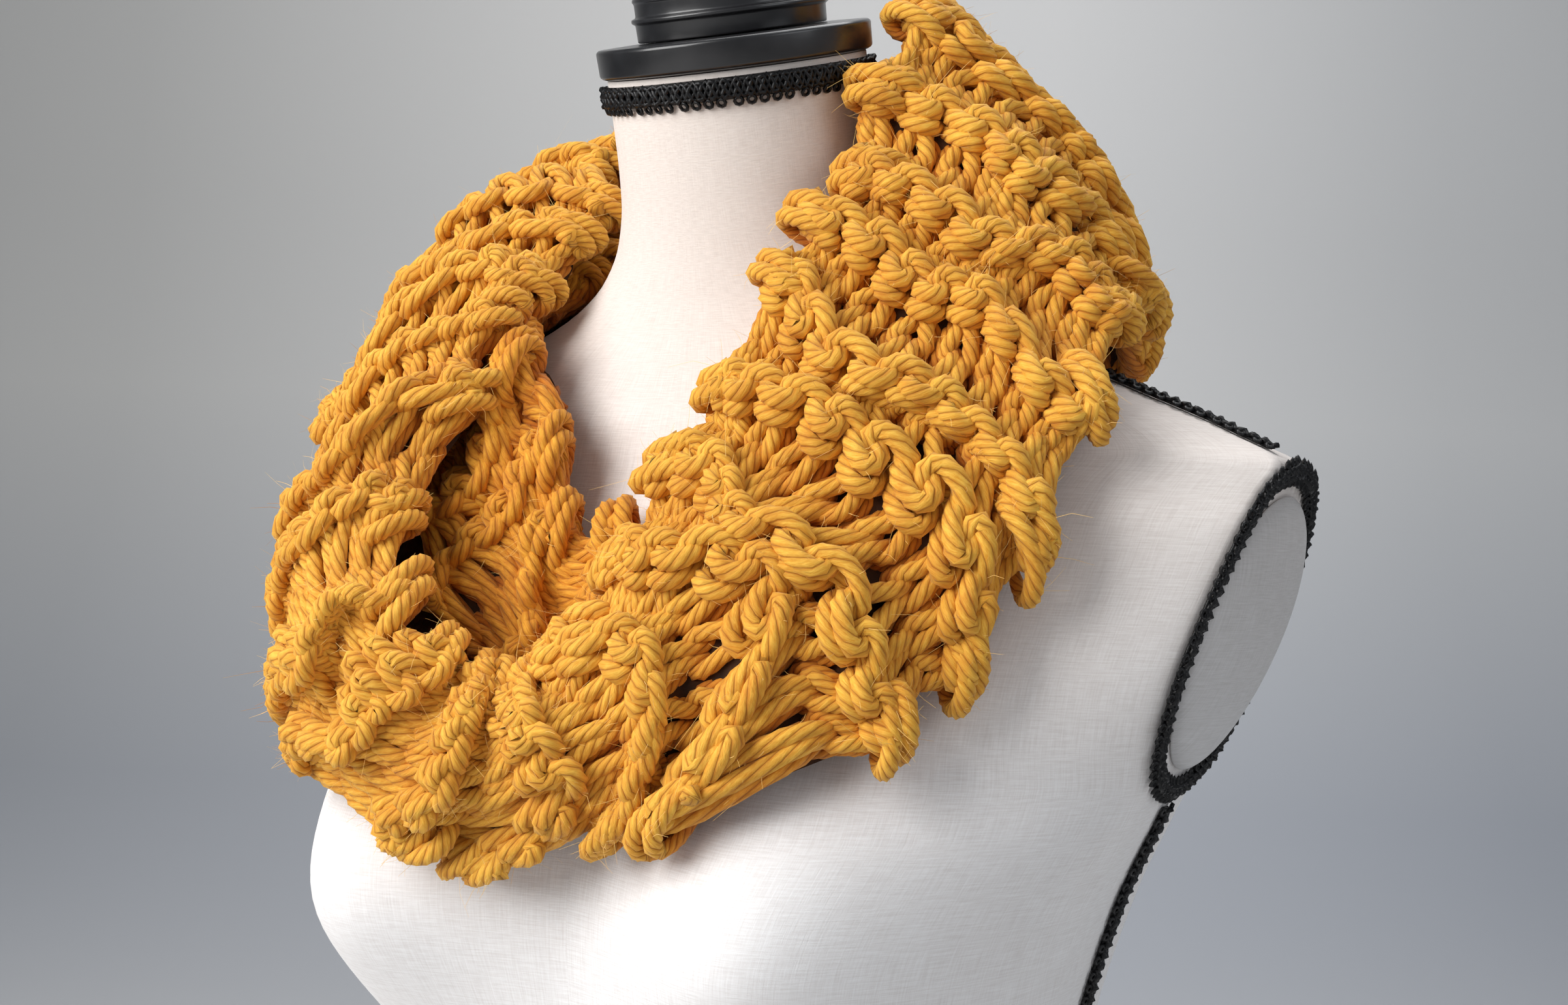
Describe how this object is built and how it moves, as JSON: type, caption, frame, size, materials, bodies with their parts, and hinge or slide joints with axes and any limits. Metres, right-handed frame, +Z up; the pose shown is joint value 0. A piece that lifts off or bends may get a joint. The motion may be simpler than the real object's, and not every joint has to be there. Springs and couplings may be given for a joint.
{
  "type": "infinity scarf worn on a limbless dress form",
  "caption": "Chunky garter-knit infinity scarf wound twice round the neck of a limbless linen-covered dress form with black braid trim and a turned neck cap.",
  "frame": {"origin": "middle of the dress form's flat underside, under its neck", "axes": "+Z up, -Y the front of the dress form, +X the dress form's own left"},
  "size_m": [0.4166, 0.2868, 0.7474],
  "materials": {
    "mustard_knit": "chunky mustard-yellow 4-ply wool-blend yarn held double, soft halo, matt with a faint sheen",
    "mustard_knit_inner": "the same mustard yarn in the shade of the wrap over it",
    "linen_cover": "bleached plain-weave linen with fine slubs, matt",
    "arm_plate_cover": "the same linen stretched over a domed plate, slightly greyer",
    "black_gimp_braid": "black herringbone gimp braid with small loops along its edges, slight gloss",
    "black_turned_wood": "turned wood painted satin black"
  },
  "bodies": {
    "root": {"arm_plate_left": "arm_plate_cover", "arm_plate_right": "arm_plate_cover", "armhole_braid_left": "black_gimp_braid", "armhole_braid_right": "black_gimp_braid", "dress_form": "linen_cover", "neck_braid": "black_gimp_braid", "neck_cap_disc": "black_turned_wood", "neck_cap_steps": "black_turned_wood", "scarf_inner_wrap": "mustard_knit_inner", "scarf_outer_wrap": "mustard_knit", "shoulder_braid_left": "black_gimp_braid", "shoulder_braid_right": "black_gimp_braid", "side_seam_braid_left": "black_gimp_braid", "side_seam_braid_right": "black_gimp_braid"}
  },
  "joints": []
}
